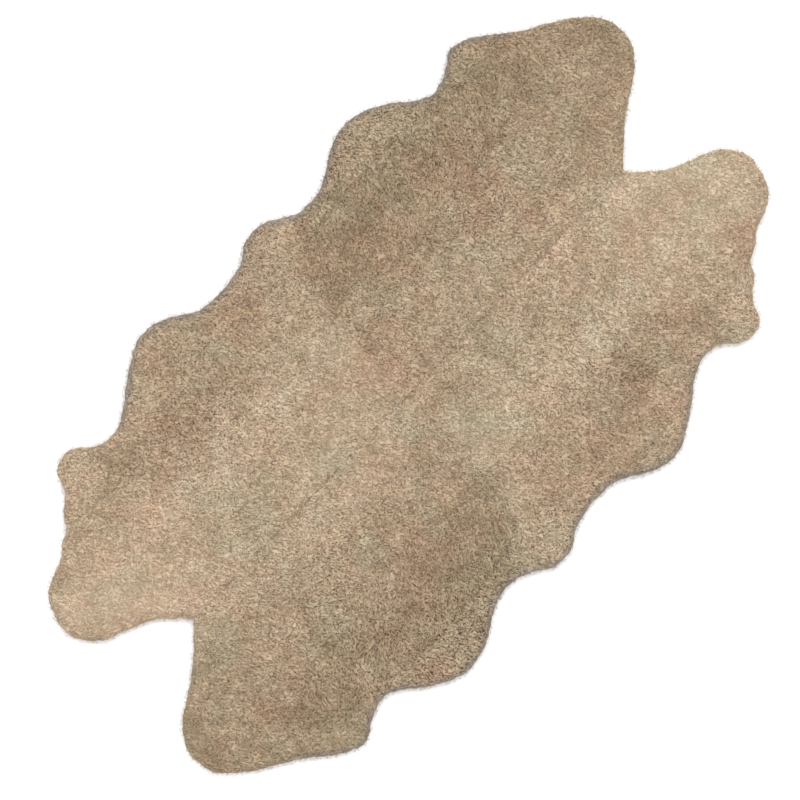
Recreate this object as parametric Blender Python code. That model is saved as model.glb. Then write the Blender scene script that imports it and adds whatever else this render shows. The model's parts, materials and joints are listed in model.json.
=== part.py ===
"""Sheepskin rug of four curly wool pelts, sewn edge to edge into one flat rug.

Units are metres and +Z is up. The rug lies on Z = 0 with the middle of its underside at the origin.
X runs across the rug and Y runs along it. The rug looks the same after half a turn about Z, so only
the two pelts of the far half are described here: the dark one at -X and the light one at +X.
"""

from collections import namedtuple
from math import pi

import bmesh
import bpy
from mathutils import Matrix, Vector

# Driving sizes
PILE_HEIGHT = 0.030  # floor to the tips of the wool
SEAM_GAP = 0.0003  # between two sewn edges
WAIST_HEIGHT = 0.007  # where the wool at an open edge reaches furthest out
WALL_HEIGHT = 0.017  # where it starts to lean in again
UNDERSIDE_INSET = 0.006  # how far the wool hangs out past the skin
SEAM_SHARE = 0.12  # how much of the rounding a sewn edge keeps
EDGE_STEPS = 4  # straight steps from one outline point to the next
CORNER_BLEND = 3  # rounds of smoothing where an open edge turns into a sewn one

# The rounded shoulder of the pile, from its wall up: how far in and how high each step lies.
ShoulderStep = namedtuple("ShoulderStep", "inset height")
SHOULDER = (
    ShoulderStep(0.004, 0.023),
    ShoulderStep(0.010, 0.0275),
    ShoulderStep(0.019, PILE_HEIGHT),
)

EdgePoint = namedtuple("EdgePoint", "place across along")

# Where the long seam ends in the notch at the far end of the rug, and where it crosses the middle.
END_NOTCH = EdgePoint("end notch", 0.0, 0.685)
MIDDLE = EdgePoint("middle of the rug", 0.0, 0.0)

# The cross seam at -X, from the open edge to the middle. The seam at +X is the same, half a turn on.
CROSS_SEAM = (
    EdgePoint("waist bay", -0.453, 0.122),
    EdgePoint("outer bend", -0.404, 0.076),
    EdgePoint("inner bend", -0.335, 0.036),
    EdgePoint("long flat run", -0.215, 0.012),
)

DARK_PELT_EDGE = (
    EdgePoint("notch side", -0.028, 0.717),
    EdgePoint("inner flank, low", -0.065, 0.758),
    EdgePoint("inner flank, high", -0.101, 0.810),
    EdgePoint("inner shoulder", -0.138, 0.866),
    EdgePoint("tip, inner side", -0.170, 0.895),
    EdgePoint("tip", -0.219, 0.907),
    EdgePoint("tip, outer side", -0.266, 0.896),
    EdgePoint("outer shoulder", -0.305, 0.860),
    EdgePoint("outer flank, high", -0.343, 0.809),
    EdgePoint("outer flank, low", -0.381, 0.746),
    EdgePoint("corner lobe, top", -0.432, 0.684),
    EdgePoint("corner lobe, side", -0.455, 0.645),
    EdgePoint("corner lobe, out", -0.460, 0.612),
    EdgePoint("corner lobe, foot", -0.441, 0.580),
    EdgePoint("upper bay, top", -0.427, 0.550),
    EdgePoint("upper bay", -0.421, 0.518),
    EdgePoint("upper bay, foot", -0.435, 0.485),
    EdgePoint("side lobe, top", -0.468, 0.446),
    EdgePoint("side lobe, upper", -0.498, 0.398),
    EdgePoint("side lobe, out", -0.514, 0.350),
    EdgePoint("side lobe, widest", -0.513, 0.315),
    EdgePoint("side lobe, lower", -0.501, 0.275),
    EdgePoint("side lobe, foot", -0.475, 0.231),
    EdgePoint("waist bay, top", -0.453, 0.183),
)

LIGHT_PELT_EDGE = (
    EdgePoint("side lobe, foot", 0.475, -0.083),
    EdgePoint("side lobe, lower", 0.493, -0.055),
    EdgePoint("side lobe, out", 0.499, -0.021),
    EdgePoint("side lobe, upper", 0.492, 0.010),
    EdgePoint("middle bay, foot", 0.471, 0.043),
    EdgePoint("middle bay, low", 0.460, 0.085),
    EdgePoint("middle bay, high", 0.457, 0.130),
    EdgePoint("great lobe, foot", 0.467, 0.190),
    EdgePoint("great lobe, lower", 0.498, 0.237),
    EdgePoint("great lobe, out", 0.516, 0.282),
    EdgePoint("great lobe, widest", 0.516, 0.325),
    EdgePoint("great lobe, upper", 0.496, 0.368),
    EdgePoint("great lobe, top", 0.462, 0.421),
    EdgePoint("upper bay, foot", 0.427, 0.470),
    EdgePoint("upper bay", 0.412, 0.514),
    EdgePoint("upper bay, top", 0.421, 0.557),
    EdgePoint("knob, foot", 0.451, 0.590),
    EdgePoint("knob, out", 0.459, 0.618),
    EdgePoint("knob, top", 0.447, 0.654),
    EdgePoint("third scallop, foot", 0.417, 0.670),
    EdgePoint("third scallop", 0.397, 0.683),
    EdgePoint("second scallop, foot", 0.368, 0.719),
    EdgePoint("second scallop", 0.345, 0.732),
    EdgePoint("second scallop, top", 0.326, 0.766),
    EdgePoint("first scallop", 0.304, 0.793),
    EdgePoint("first scallop, top", 0.292, 0.829),
    EdgePoint("tip, outer corner", 0.269, 0.868),
    EdgePoint("tip, outer side", 0.221, 0.893),
    EdgePoint("tip", 0.179, 0.900),
    EdgePoint("tip, inner side", 0.145, 0.887),
    EdgePoint("inner shoulder", 0.115, 0.858),
    EdgePoint("inner flank, high", 0.088, 0.798),
    EdgePoint("inner flank, low", 0.064, 0.750),
    EdgePoint("notch side", 0.031, 0.711),
)

# Colours as seen, in sRGB from 0 to 1.
DARK_WOOL = (0.647, 0.567, 0.468)
LIGHT_WOOL = (0.709, 0.623, 0.521)
WOOL_ROUGHNESS = 0.95


def clear_scene():
    for thing in list(bpy.data.objects):
        bpy.data.objects.remove(thing, do_unlink=True)


def linear(seen):
    """The colour that a shader takes for one given as it is seen."""
    return [part / 12.92 if part <= 0.04045 else ((part + 0.055) / 1.055) ** 2.4 for part in seen]


def wool_material(name, seen):
    """Matt wool of one colour."""
    material = bpy.data.materials.new(name)
    material.use_nodes = True
    shader = material.node_tree.nodes["Principled BSDF"]
    shader.inputs["Base Color"].default_value = (*linear(seen), 1.0)
    shader.inputs["Roughness"].default_value = WOOL_ROUGHNESS
    shader.inputs["Metallic"].default_value = 0.0
    return material


def half_turn(points):
    """The same points, turned half round about the middle of the rug."""
    return [EdgePoint(point.place, -point.across, -point.along) for point in points]


def dark_pelt_outline():
    """The dark pelt's corners and smooth points, counterclockwise from the end notch."""
    open_edge = [END_NOTCH, *DARK_PELT_EDGE, CROSS_SEAM[0]]
    sewn_edge = [*CROSS_SEAM[1:], MIDDLE]
    return open_edge, sewn_edge


def light_pelt_outline():
    """The light pelt's corners and smooth points, counterclockwise from the waist bay."""
    cross_seam = half_turn(CROSS_SEAM)
    open_edge = [cross_seam[0], *LIGHT_PELT_EDGE, END_NOTCH]
    sewn_edge = [MIDDLE, *reversed(cross_seam[1:])]
    return open_edge, sewn_edge


def outline_curve(name, open_edge, sewn_edge):
    """A flat filled curve through the points, smooth but for a corner at each end of a seam."""
    corners = (open_edge[0], open_edge[-1], MIDDLE)
    points = [*open_edge, *sewn_edge]
    data = bpy.data.curves.new(name, "CURVE")
    data.dimensions = "2D"
    data.fill_mode = "BOTH"
    data.resolution_u = EDGE_STEPS
    data.extrude = (WALL_HEIGHT - WAIST_HEIGHT) / 2
    spline = data.splines.new("BEZIER")
    spline.bezier_points.add(len(points) - 1)
    spline.use_cyclic_u = True
    for knot, point in zip(spline.bezier_points, points):
        knot.co = (point.across, point.along, 0.0)
        handle = "VECTOR" if point in corners else "AUTO"
        knot.handle_left_type = handle
        knot.handle_right_type = handle
    curve = bpy.data.objects.new(name, data)
    curve.location.z = (WALL_HEIGHT + WAIST_HEIGHT) / 2
    return curve


def slab_from_curve(curve, collection):
    """The curve's filled slab as a mesh, with one face on top and one below."""
    collection.objects.link(curve)
    bpy.context.view_layer.update()
    evaluated = curve.evaluated_get(bpy.context.evaluated_depsgraph_get())
    mesh = bpy.data.meshes.new_from_object(evaluated)
    mesh.transform(curve.matrix_world)
    bpy.data.objects.remove(curve, do_unlink=True)
    slab = bmesh.new()
    slab.from_mesh(mesh)
    bpy.data.meshes.remove(mesh)
    bmesh.ops.remove_doubles(slab, verts=slab.verts, dist=1e-5)
    bmesh.ops.recalc_face_normals(slab, faces=slab.faces)
    for side in (1.0, -1.0):
        cap = [face for face in slab.faces if face.normal.z * side > 0.9]
        bmesh.ops.dissolve_faces(slab, faces=cap)
    return slab


def cap_face(slab, side):
    """The one big face on top (side 1) or below (side -1)."""
    facing = [face for face in slab.faces if face.normal.z * side > 0.9]
    return max(facing, key=lambda face: face.calc_area())


def joined_corners(loop, cap):
    """The corner of a cap that each corner of a loop is joined to by an edge."""
    corners = set(cap.verts)
    joined = []
    for vert in loop:
        across_edge = [edge.other_vert(vert) for edge in vert.link_edges]
        joined.append(next(other for other in across_edge if other in corners))
    return joined


def extruded(slab, cap, loop):
    """Extrudes a cap, and gives the new cap with its corners in the order of the old loop."""
    new_cap = bmesh.ops.extrude_discrete_faces(slab, faces=[cap])["faces"][0]
    return new_cap, joined_corners(loop, new_cap)


def nearest_place(places, point):
    target = Vector((point.across, point.along))
    return min(range(len(places)), key=lambda index: (places[index] - target).length)


def open_shares(places, open_edge):
    """1 at each place on the open edge and 0 on a seam, with a short blend between the two."""
    start = nearest_place(places, open_edge[0])
    end = nearest_place(places, open_edge[-1])
    count = len(places)
    shares = [0.0] * count
    for step in range(1, (end - start) % count):
        shares[(start + step) % count] = 1.0
    for _ in range(CORNER_BLEND):
        shares = [
            (shares[index - 1] + 2 * shares[index] + shares[(index + 1) % count]) / 4
            for index in range(count)
        ]
    return shares


def inward_directions(places):
    """The unit direction into the pelt at each place of a counterclockwise outline."""
    inward = []
    for index, place in enumerate(places):
        before = (place - places[index - 1]).normalized()
        after = (places[(index + 1) % len(places)] - place).normalized()
        along = (before + after).normalized()
        inward.append(Vector((-along.y, along.x)))
    return inward


def round_pelt(slab, open_edge):
    """Gives the slab its rounded woolly shoulder and, below it, the tucked-in underside."""
    top = cap_face(slab, 1.0)
    bottom = cap_face(slab, -1.0)
    rim = [loop.vert for loop in top.loops]
    lower_rim = joined_corners(rim, bottom)
    places = [vert.co.xy.copy() for vert in rim]
    inward = inward_directions(places)
    shares = open_shares(places, open_edge)

    def place_loop(loop, inset, height):
        for vert, place, direction, share in zip(loop, places, inward, shares):
            rounding = inset * (share + SEAM_SHARE * (1 - share))
            clearance = SEAM_GAP / 2 * (1 - share)
            moved = place + direction * (rounding + clearance)
            vert.co = (moved.x, moved.y, height)

    place_loop(rim, 0.0, WALL_HEIGHT)
    place_loop(lower_rim, 0.0, WAIST_HEIGHT)
    loop = rim
    for step in SHOULDER:
        top, loop = extruded(slab, top, loop)
        place_loop(loop, step.inset, step.height)
    bottom, loop = extruded(slab, bottom, lower_rim)
    place_loop(loop, UNDERSIDE_INSET, 0.0)
    bmesh.ops.recalc_face_normals(slab, faces=slab.faces)


def make_pelt(name, outline, colour, turned, collection):
    """One pelt, skin and wool together, as a solid of its own."""
    open_edge, sewn_edge = outline
    slab = slab_from_curve(outline_curve(name, open_edge, sewn_edge), collection)
    round_pelt(slab, open_edge)
    mesh = bpy.data.meshes.new(name)
    slab.to_mesh(mesh)
    slab.free()
    mesh.materials.append(wool_material(name + "_wool", colour))
    pelt = bpy.data.objects.new(name, mesh)
    if turned:
        pelt.matrix_world = Matrix.Rotation(pi, 4, "Z")
    collection.objects.link(pelt)
    return pelt


def main():
    clear_scene()
    rug = bpy.data.collections.new("Sheepskin rug")
    bpy.context.scene.collection.children.link(rug)
    dark = dark_pelt_outline()
    light = light_pelt_outline()
    make_pelt("pelt_far_dark", dark, DARK_WOOL, False, rug)
    make_pelt("pelt_far_light", light, LIGHT_WOOL, False, rug)
    make_pelt("pelt_near_dark", dark, DARK_WOOL, True, rug)
    make_pelt("pelt_near_light", light, LIGHT_WOOL, True, rug)


main()
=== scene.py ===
"""The looks of a sheepskin rug: four curly pelts sewn edge to edge, seen from straight above.

Each pelt is a suede skin under a fleece of matted curls that closes over the seams, with thin
locks lying on the fleece and wisps standing out of it. The seams are whipped with thread on the
skin side.
"""

import json
import math

import bpy
import numpy as np
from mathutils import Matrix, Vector, noise

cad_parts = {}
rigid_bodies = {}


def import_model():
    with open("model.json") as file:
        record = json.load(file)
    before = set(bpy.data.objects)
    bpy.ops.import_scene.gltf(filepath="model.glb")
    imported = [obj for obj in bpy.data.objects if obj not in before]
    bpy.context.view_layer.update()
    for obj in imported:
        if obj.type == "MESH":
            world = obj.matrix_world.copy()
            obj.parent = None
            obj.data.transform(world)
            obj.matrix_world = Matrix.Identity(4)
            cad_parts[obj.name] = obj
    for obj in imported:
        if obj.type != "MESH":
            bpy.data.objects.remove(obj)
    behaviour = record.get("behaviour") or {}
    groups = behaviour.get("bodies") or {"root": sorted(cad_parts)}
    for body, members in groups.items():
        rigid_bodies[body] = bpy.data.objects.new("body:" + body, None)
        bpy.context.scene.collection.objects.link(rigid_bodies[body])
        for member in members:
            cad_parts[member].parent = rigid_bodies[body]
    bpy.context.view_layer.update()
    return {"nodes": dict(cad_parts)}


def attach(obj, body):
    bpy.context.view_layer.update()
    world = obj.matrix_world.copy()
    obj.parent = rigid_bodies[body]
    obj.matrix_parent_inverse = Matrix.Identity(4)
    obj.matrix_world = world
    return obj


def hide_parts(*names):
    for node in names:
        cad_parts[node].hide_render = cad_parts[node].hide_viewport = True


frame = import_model()

bl_info = {
    "name": "Sheepskin rug",
    "version": (1, 0, 0),
    "blender": (4, 5, 0),
    "location": "3D View > Sidebar > Rug",
    "description": "Finishes a rug of sewn sheepskins with suede, fleece, locks, wisps and seams",
    "category": "Object",
}

MM = 0.001
PELTS = ("pelt_far_dark", "pelt_far_light", "pelt_near_dark", "pelt_near_light")
WOOL_PIECES = ("fleece", "locks", "wisps")

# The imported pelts: their widest ring, and how near two rings are where they are sewn.
WIDEST_HEIGHT = 7 * MM
SEWN_WITHIN = 2 * MM

# Half the gap between two skins, and the groove along their sewn edges. Then the path of a
# stitch in mm: along, across and up.
SKIN_GAP = 0.15 * MM
GROOVE_WIDTH = 4 * MM
GROOVE_DEPTH = 1.0 * MM
STITCH = (
    (-1.4, -3.9, 1.4),
    (-1.1, -3.1, 0.52),
    (0.0, 0.0, 0.50),
    (1.1, 3.1, 0.52),
    (1.4, 3.9, 1.4),
)

# The fleece's flat bottom, its soft relief, and the blocks that cut it into pelts.
FLEECE_BOTTOM = 2.2 * MM
RELIEF_WAVELENGTH = 20 * MM
RELIEF_HEIGHT = 5 * MM
BLOCK_BOTTOM = -20 * MM
BLOCK_HEIGHT = 90 * MM

# The winding noise that the fleece's curls follow, in its mesh and in its colour: the main way
# that the wool lies and the way of the dark flanks, both from the rug's width, and how far the
# curls are drawn out along it.
WINDING = {"Scale": 146.0, "Detail": 1.0, "Distortion": 1.1}
WAYS = (math.radians(24), math.radians(-22))
DRAWN_OUT = (0.84, 1.42, 1.0)

# How wide a furrow is, in the winding noise's own values. Furrows fade out towards the floor,
# sink straight down near a seam, and tufts roughen the outline along the free edges. A tuft has
# a wavelength and a size.
FURROW_REACH = 0.085
FLOOR_FADE = (3 * MM, 8 * MM)
SEAM_FADE = (2 * MM, 10 * MM)
RIM_FADE = (4 * MM, 12 * MM)
RIM_TUFTS = ((19 * MM, 2.4 * MM), (9 * MM, 1.8 * MM))

# Ranges over which the wool takes on a greyer, darker painted shade towards a free edge and its
# painted shade in the depths grows weaker, and over which it turns into the next pelt's tone at a
# seam.
SHADED_RIM = 26 * MM
SHALLOW_RIM = 12 * MM
SHALLOW_SHARE = 0.35
SEAM_BLEND = 30 * MM

# What being brighter and being warmer do to red, green and blue. Bright wool is also paler.
BRIGHTER = (1.94, 2.2, 2.65)
WARMER = (0.02, -0.03, -0.03)

# What being darker does to red and to blue, beside green: in the painted shade of the wool's
# depths, and in its darker fibres.
BROWNER = (0.76, 1.3)

# Random drifts of the wool's colour: their wavelength, and how much brighter and warmer at most.
DRIFTS = ((13 * MM, 0.02, 0.3), (26 * MM, 0.07, 0.9), (60 * MM, 0.07, 1.3), (170 * MM, 0.0, 1.8))

# A strand is a lock or a wisp: a three-sided tube, with this girth at places from root to tip.
# No strand goes lower than the floor gap.
STRAND_SIDES = 3
GIRTH_PLACES = (0.0, 0.2, 0.4, 0.6, 0.8)
GIRTHS = (0.80, 1.0, 1.06, 0.96, 0.70)
FLOOR_GAP = 0.5 * MM
MAP_MARGIN = 0.08

# Kinds of lock: name, share of all locks, length of a step in mm, then the turn and the climb
# at each step, in degrees.
LOCK_RADIUS = 0.55 * MM
LOCK_ROOT = -0.8 * MM
LOCK_FLATNESS = 0.8
LOCKS = (
    ("comma", 0.25, 3.2, (0, 35, 45, 50), (52, 12, -14, -40)),
    ("comma_left", 0.25, 3.2, (0, -35, -45, -50), (52, 12, -14, -40)),
    ("snake", 0.15, 3.3, (0, 45, -60, -50), (50, 10, -12, -40)),
    ("snake_left", 0.15, 3.3, (0, -45, 60, 50), (52, 10, -12, -40)),
    ("hook", 0.10, 3.0, (10, 60, 70, 70), (54, 14, -10, -36)),
    ("hook_left", 0.10, 3.0, (-10, -60, -70, -70), (54, 14, -10, -36)),
)

# Kinds of wisp, the loose fibres that stand out of the wool, in the same columns. Those that
# are rooted above the height are shorter.
WISP_RADIUS = 0.28 * MM
WISP_ROOT = 1.0 * MM
SHORTER_ABOVE = 20 * MM
SHORTER = 0.6
WISPS = (
    ("sickle", 0.4, 2.9, (0, 30, 40), (80, 45, 5)),
    ("sickle_left", 0.4, 2.9, (0, -30, -40), (80, 45, 5)),
    ("wave", 0.2, 3.1, (0, 40, -70), (82, 55, 25)),
)

# The studio: the floor, where the wide soft sun stands from the camera's aim, and the camera.
FLOOR_SIZE = 12
FLOOR_DROP = 0.3 * MM
KEY_PLACE = (-1.2, 1.6, 3.4)
KEY_ANGLE = math.radians(40)
SENSOR_WIDTH = 36


# ---------------------------------------------------------------- settings that a user changes


def length(name, description, default, **limits):
    return bpy.props.FloatProperty(
        name=name, description=description, default=default, unit="LENGTH", **limits
    )


def factor(name, description, default):
    return bpy.props.FloatProperty(
        name=name, description=description, default=default, subtype="FACTOR"
    )


def colour(name, description, default):
    return bpy.props.FloatVectorProperty(
        name=name, description=description, default=default, size=3, subtype="COLOR"
    )


class WoolSettings(bpy.types.PropertyGroup):
    """Sizes and colours of the wool, and of its painted shade."""

    lock_distance: length(
        "Lock distance", "The least distance between the roots of two locks", 14 * MM, min=4 * MM
    )
    wisp_distance: length(
        "Wisp distance", "The least distance between the roots of two wisps", 3.4 * MM, min=2 * MM
    )
    rim_wisps: factor("Rim wisps", "The share of wisps that are kept along the free edges", 0.7)
    top_wisps: factor("Top wisps", "The share of wisps that are kept elsewhere", 0.03)
    fleece_margin: length(
        "Fleece margin", "How far the fleece stays inside the pelts' solids", 0.5 * MM
    )
    fleece_grain: length(
        "Fleece grain", "The size of the fleece's faces, before they are divided in four", 4.5 * MM
    )
    curl_depth: length("Curl depth", "How deep the furrows between the curls are", 3.0 * MM)
    # How strong the painted shade in the wool's depths is: in the fleece's furrows, and at the
    # strands' roots and on their sides that face down.
    depth: factor("Depth", "How dark the wool is in its depths", 0.74)
    seed: bpy.props.IntProperty(
        name="Seed", description="Another number lays the locks in another way", default=7
    )
    dark_wool: colour("Dark wool", "The colour of the darker pelts", (0.541, 0.411, 0.271))
    light_wool: colour("Light wool", "The colour of the lighter pelts", (0.603, 0.460, 0.310))
    # The painted shade along the free edges: a greyer, darker colour, strongest along the long
    # sides.
    rim_shade: colour("Rim wool", "The greyer colour along the long sides", (0.375, 0.317, 0.260))


class SkinSettings(bpy.types.PropertyGroup):
    """Sizes and colours of the skins and their seams."""

    thickness: length("Thickness", "The thickness of the suede", 2 * MM)
    inset: length("Inset", "How far the free edges are moved in under the wool", 12 * MM)
    suede: colour("Suede", "The colour of the skin side", (0.430, 0.340, 0.250))
    thread: colour("Thread", "The colour of the sewing thread", (0.520, 0.420, 0.300))
    thread_width: length("Thread width", "The diameter of the sewing thread", 0.9 * MM)
    stitch_pitch: length("Stitch pitch", "The distance from one stitch to the next", 7 * MM)


class StageSettings(bpy.types.PropertyGroup):
    """The camera and the light of the photograph."""

    view_width: length("View width", "How much of the rug's top the view takes in", 1.756)
    view_turn: bpy.props.FloatProperty(
        name="View turn",
        description="How far the camera is turned from the rug's width",
        default=math.radians(43.7),
        unit="ROTATION",
    )
    view_middle: bpy.props.FloatVectorProperty(
        name="View middle",
        description="The place that the camera looks down on",
        default=(-0.0065, -0.0208, 0.030),
        size=3,
        subtype="XYZ",
    )
    lens: bpy.props.FloatProperty(name="Lens", description="The focal length in mm", default=85)
    sky: bpy.props.FloatProperty(
        name="Sky", description="The strength of the even light from all round", default=1.15
    )
    key: bpy.props.FloatProperty(
        name="Key light", description="The strength of the wide soft sun", default=1.2
    )


# ---------------------------------------------------------------- small helpers


def deselect_all():
    if bpy.context.object and bpy.context.object.mode != "OBJECT":
        bpy.ops.object.mode_set(mode="OBJECT")
    bpy.ops.object.select_all(action="DESELECT")


def only(obj):
    """obj is the one selected and active object."""
    deselect_all()
    obj.select_set(True)
    bpy.context.view_layer.objects.active = obj


def edit(obj, kind="VERT"):
    """obj is in edit mode with nothing selected."""
    only(obj)
    bpy.ops.object.mode_set(mode="EDIT")
    bpy.ops.mesh.select_mode(type=kind)
    bpy.ops.mesh.select_all(action="DESELECT")


def object_mode():
    bpy.ops.object.mode_set(mode="OBJECT")


def edit_faces(obj, wanted):
    """obj is in edit mode with the wanted faces selected."""
    edit(obj, "FACE")
    object_mode()
    for polygon in obj.data.polygons:
        polygon.select = wanted(polygon)
    bpy.ops.object.mode_set(mode="EDIT")


def new_object(name, mesh):
    obj = bpy.data.objects.new(name, mesh)
    bpy.context.scene.collection.objects.link(obj)
    return obj


def remove(obj):
    mesh = obj.data
    bpy.data.objects.remove(obj)
    if mesh.users == 0:
        bpy.data.meshes.remove(mesh)


def finish_with(obj, material):
    """The material is the object's only one."""
    obj.data.materials.clear()
    obj.data.materials.append(material)


def merged_copy(node_name, name):
    """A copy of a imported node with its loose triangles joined."""
    obj = new_object(name, frame["nodes"][node_name].data.copy())
    edit(obj)
    bpy.ops.mesh.select_all(action="SELECT")
    bpy.ops.mesh.remove_doubles(threshold=0.02 * MM)
    object_mode()
    return obj


def model_block(name, ring, bottom, height):
    """A closed block that stands on a ring of points.

    Extrude leaves the walls in another order on each run, and the scatter of the wool follows the
    order of the faces that a block cuts, so all is sorted by its distance from the cursor.
    """
    mesh = bpy.data.meshes.new(name)
    mesh.from_pydata([(x, y, bottom) for x, y in ring], [], [range(len(ring))])
    block = new_object(name, mesh)
    edit(block, "FACE")
    bpy.ops.mesh.select_all(action="SELECT")
    bpy.ops.mesh.extrude_region_move(TRANSFORM_OT_translate={"value": (0, 0, height)})
    bpy.ops.mesh.select_all(action="SELECT")
    bpy.ops.mesh.normals_make_consistent(inside=False)
    bpy.ops.mesh.sort_elements(type="CURSOR_DISTANCE", elements={"VERT", "EDGE", "FACE"})
    object_mode()
    return block


def apply_modifier(obj, kind, **values):
    """Adds a modifier with these values, and applies it."""
    only(obj)
    modifier = obj.modifiers.new(kind.title(), kind)
    for key, value in values.items():
        setattr(modifier, key, value)
    bpy.ops.object.modifier_apply(modifier=modifier.name)


def read(items, key, width=1, kind=float):
    """One value, or a row of them, from each of the items."""
    values = np.empty(len(items) * width, kind)
    items.foreach_get(key, values)
    return values.reshape(-1, width) if width > 1 else values


def places_of(mesh):
    return read(mesh.vertices, "co", 3)


def move_to(mesh, places):
    mesh.vertices.foreach_set("co", places.ravel())


def store(mesh, name, kind, values):
    """Stores one value for each point of the mesh."""
    attribute = mesh.attributes.new(name, kind, "POINT")
    keys = {"FLOAT": "value", "INT": "value", "FLOAT_VECTOR": "vector", "FLOAT_COLOR": "color"}
    exact = np.int32 if kind == "INT" else np.float32
    attribute.data.foreach_set(keys[kind], np.ascontiguousarray(values, exact).ravel())


def smoothstep(value, low, high):
    t = np.clip((value - low) / (high - low), 0, 1)
    return t * t * (3 - 2 * t)


def unit(vectors):
    return vectors / np.maximum(np.linalg.norm(vectors, axis=1, keepdims=True), 1e-9)


def soft_noise(points, wavelength, seed):
    """Smooth noise from about -1 to 1 at each point of the plane."""
    return np.array(
        [noise.noise((x / wavelength, y / wavelength, seed)) for x, y in points[:, :2]]
    )


# ---------------------------------------------------------------- outlines of the pelts


def ring_of(obj, height):
    """The points, in order, of the ring of edges that lies at that height."""
    places = places_of(obj.data)
    level = np.abs(places[:, 2] - height) < 0.2 * MM
    beside = {}
    for edge in obj.data.edges:
        a, b = edge.vertices
        if level[a] and level[b]:
            beside.setdefault(a, []).append(b)
            beside.setdefault(b, []).append(a)
    start = min(beside)
    ring = [start]
    came_from, here = start, beside[start][0]
    while here != start:
        ring.append(here)
        onward = [n for n in beside[here] if n != came_from]
        came_from, here = here, onward[0]
    return places[ring, :2]


def segments_of(ring):
    return np.stack([ring, np.roll(ring, -1, axis=0)], axis=1)


def nearest_on(points, segments):
    """For each point, its distance from the nearest segment and the nearest place on it."""
    points = points[:, :2]
    start, run = segments[:, 0], segments[:, 1] - segments[:, 0]
    squared = np.maximum((run * run).sum(axis=1), 1e-12)
    best = np.full(len(points), np.inf)
    place = np.zeros((len(points), 2))
    for a, r, s in zip(start, run, squared):
        t = np.clip(((points - a) @ r) / s, 0, 1)
        at = a + t[:, None] * r
        distance = np.linalg.norm(points - at, axis=1)
        nearer = distance < best
        best[nearer] = distance[nearer]
        place[nearer] = at[nearer]
    return best, place


def distance_from(points, segments):
    return nearest_on(points, segments)[0]


def signed_area(ring):
    """The area inside a ring, which is positive where the ring runs anticlockwise."""
    x, y = ring[:, 0], ring[:, 1]
    return (np.dot(x, np.roll(y, -1)) - np.dot(y, np.roll(x, -1))) / 2


class Outline:
    """A pelt's widest outline, split into its sewn and its free edges."""

    def __init__(self, name, ring, others):
        beside = np.concatenate([segments_of(other) for other in others])
        distance, place = nearest_on(ring, beside)
        ring = np.where((distance < SEWN_WITHIN)[:, None], (ring + place) / 2, ring)
        self.name = name
        self.ring = ring
        self.is_far = name.startswith("pelt_far")
        self.is_light = name.endswith("light")
        self.tone = "light_wool" if self.is_light else "dark_wool"
        segments = segments_of(ring)
        sewn = distance_from(segments.mean(axis=1), beside) < SEWN_WITHIN
        self.free = segments[~sewn]
        self.sewn = segments[sewn]
        self.size = np.ptp(ring, axis=0)
        self.area = abs(signed_area(ring))

    def called(self, kind):
        """The name of this pelt's piece of that kind."""
        return self.name.replace("pelt", kind)


def read_outlines():
    rings = {}
    for name in PELTS:
        obj = merged_copy(name, "outline_reader")
        rings[name] = ring_of(obj, WIDEST_HEIGHT)
        remove(obj)
    return {
        name: Outline(name, ring, [r for n, r in rings.items() if n != name])
        for name, ring in rings.items()
    }


OUTLINES = read_outlines()


# ---------------------------------------------------------------- tone of the wool, with painted light and shade

# Shades of the far pelts, which paint both the wool's own tone and the light and shade that fall
# where its pile leans and hollows: name, place across and along in mm, half width and half length
# in mm, then how much brighter and how much warmer the wool is there. The near half of the rug
# repeats them turned half round.
SHADES = (
    ("dark flank", -345, 300, 130, 560, -0.085, 0.0),
    ("inner pale band", -55, 420, 70, 520, 0.045, 0.1),
    ("hind bulge", -350, 150, 90, 130, -0.030, 0.0),
    ("side bulge", -340, 640, 60, 100, -0.030, 0.0),
    ("dark spot", -260, 520, 22, 34, -0.090, 0.0),
    ("green patch", -170, 560, 70, 70, 0.040, -0.5),
    ("grey patch", -80, 520, 40, 60, -0.040, 0.0),
    ("tip hollow", -100, 700, 50, 60, -0.060, 0.0),
    ("pale streak", 200, 450, 48, 470, 0.065, -0.1),
    ("pale notch side", 40, 700, 70, 160, 0.075, 0.1),
    ("pink streak", 110, 520, 45, 120, -0.010, 0.5),
    ("outer shade", 350, 330, 85, 280, -0.065, 0.3),
    ("shade patch", 330, 400, 50, 50, -0.040, 0.2),
    ("bright tip", 200, 850, 130, 60, 0.045, 0.0),
    ("bright side", 430, 640, 90, 200, 0.055, 0.1),
    ("pale outer edge", -450, 400, 60, 130, 0.070, 0.0),
    ("pale flank spot", -250, 350, 45, 60, 0.060, 0.0),
    ("dark tip", -190, 870, 100, 50, -0.075, 0.0),
    ("side hollow", 350, 560, 45, 55, -0.070, 0.1),
    ("pale shoulder", 250, 330, 40, 90, 0.040, 0.0),
    ("tip corner", 270, 860, 50, 40, -0.045, 0.0),
    ("grey corner", 460, 240, 50, 80, -0.045, -0.2),
)

# Shades that only one half of the rug has, in the same columns and in the far half's mm.
FAR_SHADES = (
    ("bright edge", 470, 450, 45, 50, 0.090, 0.0),
    ("seam crossing", 55, 70, 45, 90, -0.060, 0.0),
    ("pale outer edge", -470, 240, 40, 50, 0.030, 0.0),
    ("inner tip", -50, 700, 60, 70, -0.035, 0.0),
)
NEAR_SHADES = (
    ("pale inner band", -50, 290, 40, 220, 0.060, 0.0),
    ("pale middle", -190, 390, 110, 90, 0.040, 0.0),
    ("dark tip", -160, 810, 60, 90, -0.030, 0.0),
    ("hind edge", -420, 40, 70, 50, -0.030, 0.0),
    ("tip side", 350, 750, 40, 50, 0.040, 0.0),
)
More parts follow.
